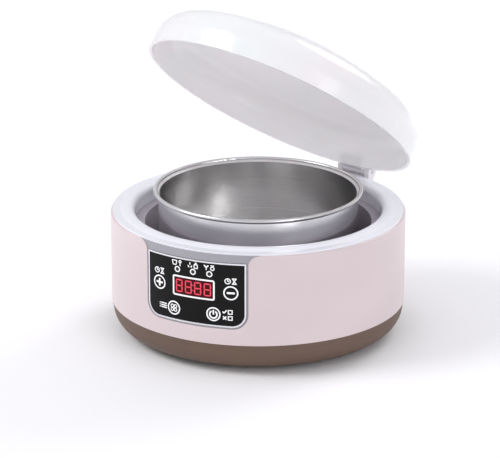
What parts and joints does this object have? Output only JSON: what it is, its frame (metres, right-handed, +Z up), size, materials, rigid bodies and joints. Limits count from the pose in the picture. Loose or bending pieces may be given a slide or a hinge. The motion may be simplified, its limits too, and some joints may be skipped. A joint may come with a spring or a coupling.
{
  "type": "yogurt maker",
  "caption": "Round heated yogurt maker with a lift-out steel bowl, a domed lid hinged at the back and a curved front panel of push keys and a display.",
  "frame": {"origin": "centre of the base on the surface that the feet stand on", "axes": "+Z up, -Y towards the control panel at the front, +X to the right seen from the front"},
  "size_m": [0.2029, 0.2094, 0.2258],
  "materials": {
    "shell_pink": "satin pale pink moulding",
    "base_brown": "matte grey-brown moulding",
    "ring_white": "glossy cool white moulding",
    "lid_milky": "translucent milky plastic, slightly pink",
    "hinge_white": "satin white moulding",
    "bowl_steel": "polished stainless steel, fine turned lines",
    "pot_dark": "dark anodised aluminium",
    "panel_black": "gloss black",
    "key_black": "gloss black",
    "trim_silver": "bright silver trim",
    "window_red": "dark red tinted window",
    "indicator_clear": "milky light pipe",
    "foot_rubber": "matte dark rubber",
    "seal_silicone": "matte white silicone",
    "plain_steel": "zinc-plated steel",
    "heater_mica": "mica heater sheet",
    "sensor_metal": "plain aluminium",
    "board_green": "green solder mask",
    "part_black": "matte black plastic",
    "part_blue": "matte blue plastic",
    "part_yellow": "yellow tape over a wound core",
    "part_white": "matte white plastic",
    "wire_white": "white wire insulation",
    "wire_grey": "grey ribbon insulation",
    "pin_brass": "nickel-washed brass"
  },
  "bodies": {
    "housing": {"outer_shell": "shell_pink", "base_shell": "base_brown", "top_ring": "ring_white", "rubber_feet": "foot_rubber", "base_screws": "plain_steel", "heating_pot": "pot_dark", "pot_seal": "seal_silicone", "heater_ring": "heater_mica", "heater_clamp": "plain_steel", "clamp_nuts": "plain_steel", "temperature_sensor": "sensor_metal", "sensor_spring": "plain_steel", "thermal_fuse": "part_white", "hinge_bracket": "hinge_white", "hinge_pin": "plain_steel", "hinge_screws": "plain_steel", "panel_lens": "panel_black", "panel_trim": "trim_silver", "panel_carrier": "ring_white", "display_window": "window_red", "indicator_lenses": "indicator_clear", "control_board": "board_green", "control_board_screws": "plain_steel", "controller_chip": "part_black", "tact_switches": "part_black", "indicator_leds": "part_white", "display_module": "part_black", "power_board": "board_green", "power_board_screws": "plain_steel", "relay": "part_blue", "transformer": "part_yellow", "capacitor": "part_black", "mains_leads": "wire_white", "heater_leads": "wire_white", "ribbon_cable": "wire_grey", "inlet_socket": "part_black", "inlet_pins": "pin_brass"},
    "lid": {"lid_dome": "lid_milky", "lid_hinge_arm": "hinge_white"},
    "bowl": {"bowl": "bowl_steel"},
    "key_time_up": {"key_time_up": "key_black"},
    "key_time_down": {"key_time_down": "key_black"},
    "key_function": {"key_function": "key_black"},
    "key_power": {"key_power": "key_black"}
  },
  "joints": [
    {"name": "lid_hinge", "type": "hinge", "parent": "housing", "child": "lid", "pos_m": [0.02908, 0.10141, 0.0875], "axis": [-0.9613, 0.2756, 0], "range_deg": [-38, 52]},
    {"name": "bowl_lift", "type": "slide", "parent": "housing", "child": "bowl", "axis": [0, 0, 1], "range_m": [0, 0.06]},
    {"name": "press_time_up", "type": "slide", "parent": "housing", "child": "key_time_up", "axis": [0, 1, 0], "range_m": [0, 0.0006], "stiffness_N_per_m": 2500, "springref_m": -0.0003},
    {"name": "press_time_down", "type": "slide", "parent": "housing", "child": "key_time_down", "axis": [0, 1, 0], "range_m": [0, 0.0006], "stiffness_N_per_m": 2500, "springref_m": -0.0003},
    {"name": "press_function", "type": "slide", "parent": "housing", "child": "key_function", "axis": [0, 1, 0], "range_m": [0, 0.0006], "stiffness_N_per_m": 2500, "springref_m": -0.0003},
    {"name": "press_power", "type": "slide", "parent": "housing", "child": "key_power", "axis": [0, 1, 0], "range_m": [0, 0.0006], "stiffness_N_per_m": 2500, "springref_m": -0.0003}
  ]
}
